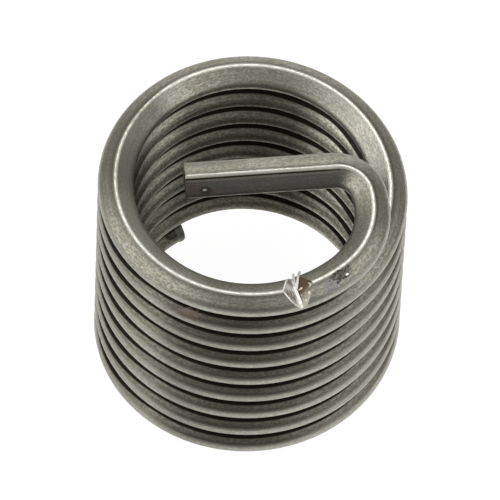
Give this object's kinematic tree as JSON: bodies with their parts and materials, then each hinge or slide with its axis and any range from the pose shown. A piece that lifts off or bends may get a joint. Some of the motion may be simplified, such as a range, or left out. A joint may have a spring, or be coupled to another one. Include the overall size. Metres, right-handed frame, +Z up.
{
  "type": "wire thread insert",
  "caption": "Helical thread insert: diamond-section stainless wire wound as an open right-hand coil, with a break-off notch and a tang bent across the bore.",
  "frame": {"origin": "on the coil's axis, level with the lowest point of the wire", "axes": "+Z up the coil's axis towards the tang; the tang lies across the axis and points along -X"},
  "size_m": [0.0098, 0.0098, 0.0104],
  "materials": {
    "stainless_wire": "cold-drawn stainless wire, satin with a fine grain along the wire, warm grey"
  },
  "bodies": {
    "root": {"wire_thread_insert": "stainless_wire"}
  },
  "joints": []
}
